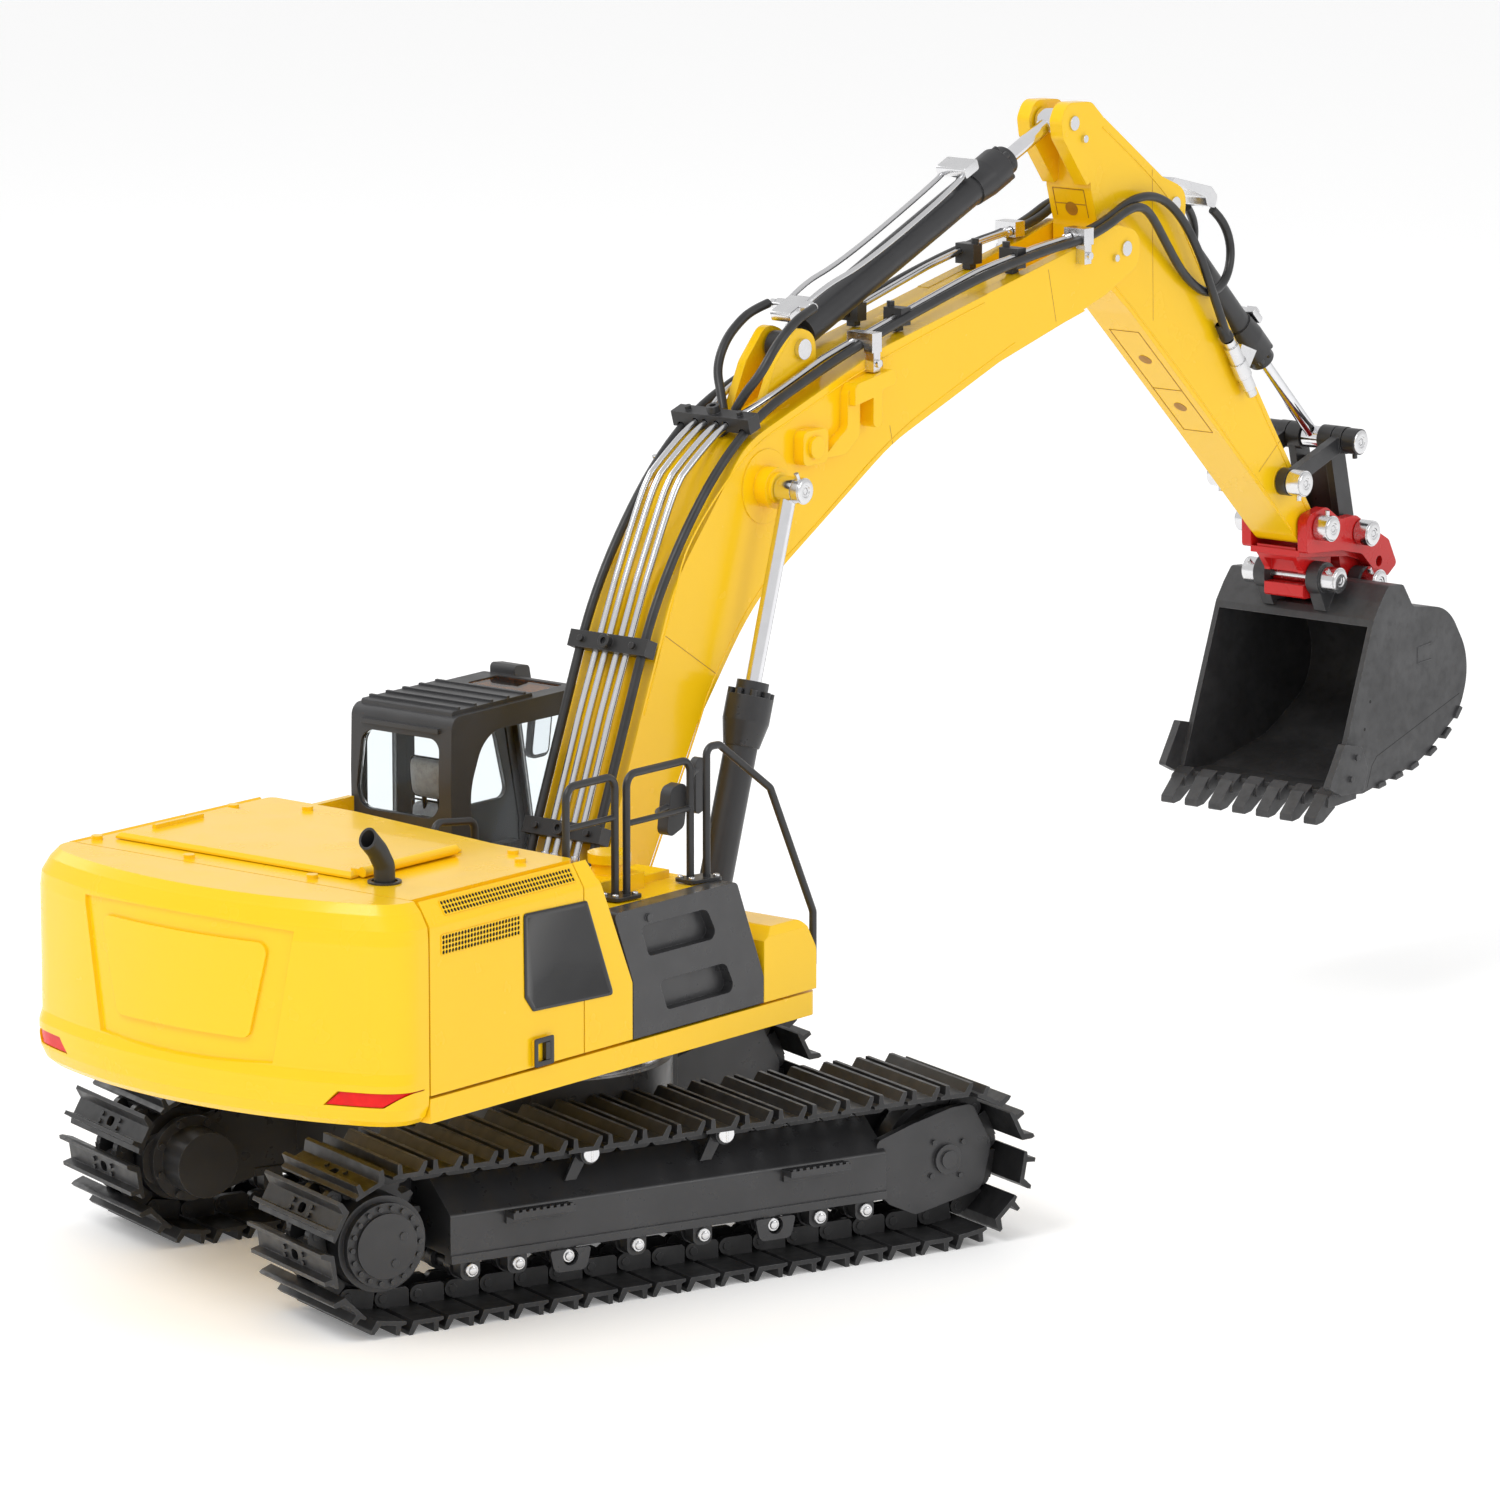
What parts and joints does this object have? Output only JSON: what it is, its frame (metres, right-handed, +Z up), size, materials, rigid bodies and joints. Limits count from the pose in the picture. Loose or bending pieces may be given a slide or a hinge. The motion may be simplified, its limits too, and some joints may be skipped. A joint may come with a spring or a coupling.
{
  "type": "remote control excavator",
  "caption": "Tracked remote control excavator with a turning upper body, cab, three-part hydraulic arm, red quick coupler and a toothed bucket.",
  "frame": {"origin": "on the ground under the slewing axis, midway between the tracks", "axes": "+X forward along the tracks towards the idlers, +Y to the left, +Z up; the upper body and arm stand turned 20.26 degrees to the left at rest"},
  "size_m": [0.7776, 0.3938, 0.4171],
  "materials": {
    "body_yellow": "gloss paint, warm golden yellow",
    "frame_black": "satin black paint",
    "track_black": "satin black, grouser tips slightly worn",
    "drive_black": "semi-gloss dark grey paint",
    "cab_black": "fine matte charcoal plastic",
    "clear_glass": "clear pane; the roof hatch is tinted amber",
    "seat_grey": "mid grey seat cloth",
    "rail_black": "satin black powder coat",
    "cylinder_black": "satin black paint on steel",
    "chrome_rod": "polished hard chrome",
    "bright_steel": "turned bright steel",
    "coupler_red": "gloss red paint",
    "bucket_dark": "dark worn steel",
    "lamp_red": "red lamp lens",
    "hose_black": "smooth black hose",
    "pack_blue": "blue shrink wrap",
    "motor_steel": "machined alloy",
    "tank_alloy": "anodised alloy",
    "case_black": "black plastic case"
  },
  "bodies": {
    "undercarriage": {"center_frame": "frame_black", "side_frame_right": "frame_black", "side_frame_left": "frame_black", "track_rollers": "drive_black", "frame_fittings": "frame_black", "track_shoes_right": "track_black", "track_shoes_left": "track_black", "track_links_right": "track_black", "track_links_left": "track_black", "track_motors": "drive_black", "swing_gear": "bright_steel"},
    "upper": {"swing_bearing": "frame_black", "deck_frame": "body_yellow", "counterweight": "body_yellow", "tail_lamps": "lamp_red", "hood": "body_yellow", "side_doors": "body_yellow", "step_box": "frame_black", "front_tank": "body_yellow", "handrails": "rail_black", "mirrors": "cab_black", "exhaust_pipe": "rail_black", "cab_frame": "cab_black", "cab_glass": "clear_glass", "operator_seat": "seat_grey", "battery_pack": "pack_blue", "pump_unit": "motor_steel", "oil_system": "tank_alloy", "receiver": "case_black", "slew_motor": "motor_steel"},
    "sprocket_right": {"sprocket_right": "drive_black"},
    "sprocket_left": {"sprocket_left": "drive_black"},
    "idler_right": {"idler_right": "drive_black"},
    "idler_left": {"idler_left": "drive_black"},
    "slew_pinion": {"slew_pinion": "bright_steel"},
    "cab_door": {"cab_door": "cab_black", "door_glass": "clear_glass"},
    "hood_lid": {"hood_lid": "body_yellow"},
    "door_latch": {"door_latch": "bright_steel"},
    "boom": {"boom": "body_yellow", "boom_pipes": "bright_steel", "boom_clamps": "rail_black", "boom_pins": "bright_steel", "arm_hoses": "hose_black"},
    "boom_rod_right": {"boom_rod_right": "chrome_rod"},
    "boom_rod_left": {"boom_rod_left": "chrome_rod"},
    "boom_barrel_right": {"boom_barrel_right": "cylinder_black"},
    "boom_barrel_left": {"boom_barrel_left": "cylinder_black"},
    "stick": {"stick": "body_yellow", "stick_fittings": "bright_steel"},
    "stick_rod": {"stick_rod": "chrome_rod"},
    "stick_barrel": {"stick_barrel": "cylinder_black"},
    "bucket_rod": {"bucket_rod": "chrome_rod"},
    "bucket_barrel": {"bucket_barrel": "cylinder_black"},
    "rocker": {"rocker": "cylinder_black"},
    "link": {"link": "cylinder_black"},
    "bucket": {"coupler": "coupler_red", "coupler_pins": "bright_steel", "bucket": "bucket_dark", "bucket_teeth": "bucket_dark"}
  },
  "joints": [
    {"name": "sprocket_right_turn", "type": "hinge", "parent": "undercarriage", "child": "sprocket_right", "pos_m": [-0.12625, -0.0795, 0.03325], "axis": [0, 1, 0], "continuous": true},
    {"name": "idler_right_turn", "type": "hinge", "parent": "undercarriage", "child": "idler_right", "pos_m": [0.12625, -0.0795, 0.03325], "axis": [0, 1, 0], "continuous": true},
    {"name": "sprocket_left_turn", "type": "hinge", "parent": "undercarriage", "child": "sprocket_left", "pos_m": [-0.12625, 0.0795, 0.03325], "axis": [0, 1, 0], "continuous": true},
    {"name": "idler_left_turn", "type": "hinge", "parent": "undercarriage", "child": "idler_left", "pos_m": [0.12625, 0.0795, 0.03325], "axis": [0, 1, 0], "continuous": true},
    {"name": "slew", "type": "hinge", "parent": "undercarriage", "child": "upper", "pos_m": [0, 0, 0.08], "axis": [0, 0, 1], "continuous": true},
    {"name": "slew_pinion_turn", "type": "hinge", "parent": "upper", "child": "slew_pinion", "pos_m": [-0.02252, -0.00831, 0.08], "axis": [0, 0, 1], "continuous": true},
    {"name": "cab_door_hinge", "type": "hinge", "parent": "upper", "child": "cab_door", "pos_m": [-0.01266, 0.09553, 0.12], "axis": [0, 0, 1], "range_deg": [0, 110]},
    {"name": "hood_lid_hinge", "type": "hinge", "parent": "upper", "child": "hood_lid", "pos_m": [-0.10778, -0.08775, 0.1769], "axis": [0.9381, 0.3463, 0], "range_deg": [0, 70]},
    {"name": "door_latch_slide", "type": "slide", "parent": "upper", "child": "door_latch", "axis": [-0.9381, -0.3463, 0], "range_m": [0, 0.004]},
    {"name": "boom_lift", "type": "hinge", "parent": "upper", "child": "boom", "pos_m": [0.02064, 0.00762, 0.134], "axis": [0.3463, -0.9381, 0], "range_deg": [-35, 25], "deforming": ["arm_hoses"]},
    {"name": "boom_rod_right_pin", "type": "hinge", "parent": "boom", "child": "boom_rod_right", "pos_m": [0.11913, 0.01167, 0.2841], "axis": [0.3463, -0.9381, 0], "range_deg": [-2.01, 2.58]},
    {"name": "boom_barrel_right_stroke", "type": "slide", "parent": "boom_rod_right", "child": "boom_barrel_right", "axis": [-0.2796, -0.1032, -0.9545], "range_m": [-0.02772, 0.01997]},
    {"name": "boom_rod_left_pin", "type": "hinge", "parent": "boom", "child": "boom_rod_left", "pos_m": [0.09814, 0.06852, 0.2841], "axis": [0.3463, -0.9381, 0], "range_deg": [-2.01, 2.58]},
    {"name": "boom_barrel_left_stroke", "type": "slide", "parent": "boom_rod_left", "child": "boom_barrel_left", "axis": [-0.2796, -0.1032, -0.9545], "range_m": [-0.02772, 0.01997]},
    {"name": "stick_swing", "type": "hinge", "parent": "boom", "child": "stick", "pos_m": [0.33613, 0.12407, 0.3538], "axis": [0.3463, -0.9381, 0], "range_deg": [-30, 20], "deforming": ["arm_hoses"]},
    {"name": "stick_rod_pin", "type": "hinge", "parent": "stick", "child": "stick_rod", "pos_m": [0.30911, 0.1141, 0.4085], "axis": [0.3463, -0.9381, 0], "range_deg": [-20.64, 30.66]},
    {"name": "stick_barrel_stroke", "type": "slide", "parent": "stick_rod", "child": "stick_barrel", "axis": [-0.8677, -0.3203, -0.3802], "range_m": [-0.02147, 0.03191]},
    {"name": "bucket_curl", "type": "hinge", "parent": "stick", "child": "bucket", "pos_m": [0.47385, 0.17491, 0.216], "axis": [0.3463, -0.9381, 0], "range_deg": [-25, 30]},
    {"name": "rocker_pin", "type": "hinge", "parent": "stick", "child": "rocker", "pos_m": [0.45377, 0.1675, 0.2386], "axis": [0.3463, -0.9381, 0], "range_deg": [-16.85, 20.1]},
    {"name": "link_pin", "type": "hinge", "parent": "rocker", "child": "link", "pos_m": [0.49299, 0.18197, 0.2517], "axis": [0.3463, -0.9381, 0], "range_deg": [-9.36, 7.9]},
    {"name": "bucket_rod_pin", "type": "hinge", "parent": "rocker", "child": "bucket_rod", "pos_m": [0.49299, 0.18197, 0.2517], "axis": [0.3463, -0.9381, 0], "range_deg": [-17.6, 14.77]},
    {"name": "bucket_barrel_stroke", "type": "slide", "parent": "bucket_rod", "child": "bucket_barrel", "axis": [-0.6843, -0.2526, 0.684], "range_m": [-0.01341, 0.01128]}
  ],
  "couplings": [
    {"joint": "idler_right_turn", "follows": "sprocket_right_turn", "ratio": 1},
    {"joint": "idler_left_turn", "follows": "sprocket_left_turn", "ratio": 1},
    {"joint": "slew_pinion_turn", "follows": "slew", "ratio": -5},
    {"joint": "boom_rod_right_pin", "follows": "boom_lift", "ratio": -0.056464},
    {"joint": "boom_barrel_right_stroke", "follows": "boom_lift", "m_per_rad": 0.044398},
    {"joint": "boom_rod_left_pin", "follows": "boom_lift", "ratio": -0.056464},
    {"joint": "boom_barrel_left_stroke", "follows": "boom_lift", "m_per_rad": 0.044398},
    {"joint": "stick_rod_pin", "follows": "stick_swing", "ratio": -1.0021},
    {"joint": "stick_barrel_stroke", "follows": "stick_swing", "m_per_rad": -0.0598},
    {"joint": "rocker_pin", "follows": "bucket_curl", "ratio": 0.6501},
    {"joint": "link_pin", "follows": "bucket_curl", "ratio": -0.292},
    {"joint": "bucket_rod_pin", "follows": "bucket_curl", "ratio": -0.5668},
    {"joint": "bucket_barrel_stroke", "follows": "bucket_curl", "m_per_rad": -0.02447}
  ]
}
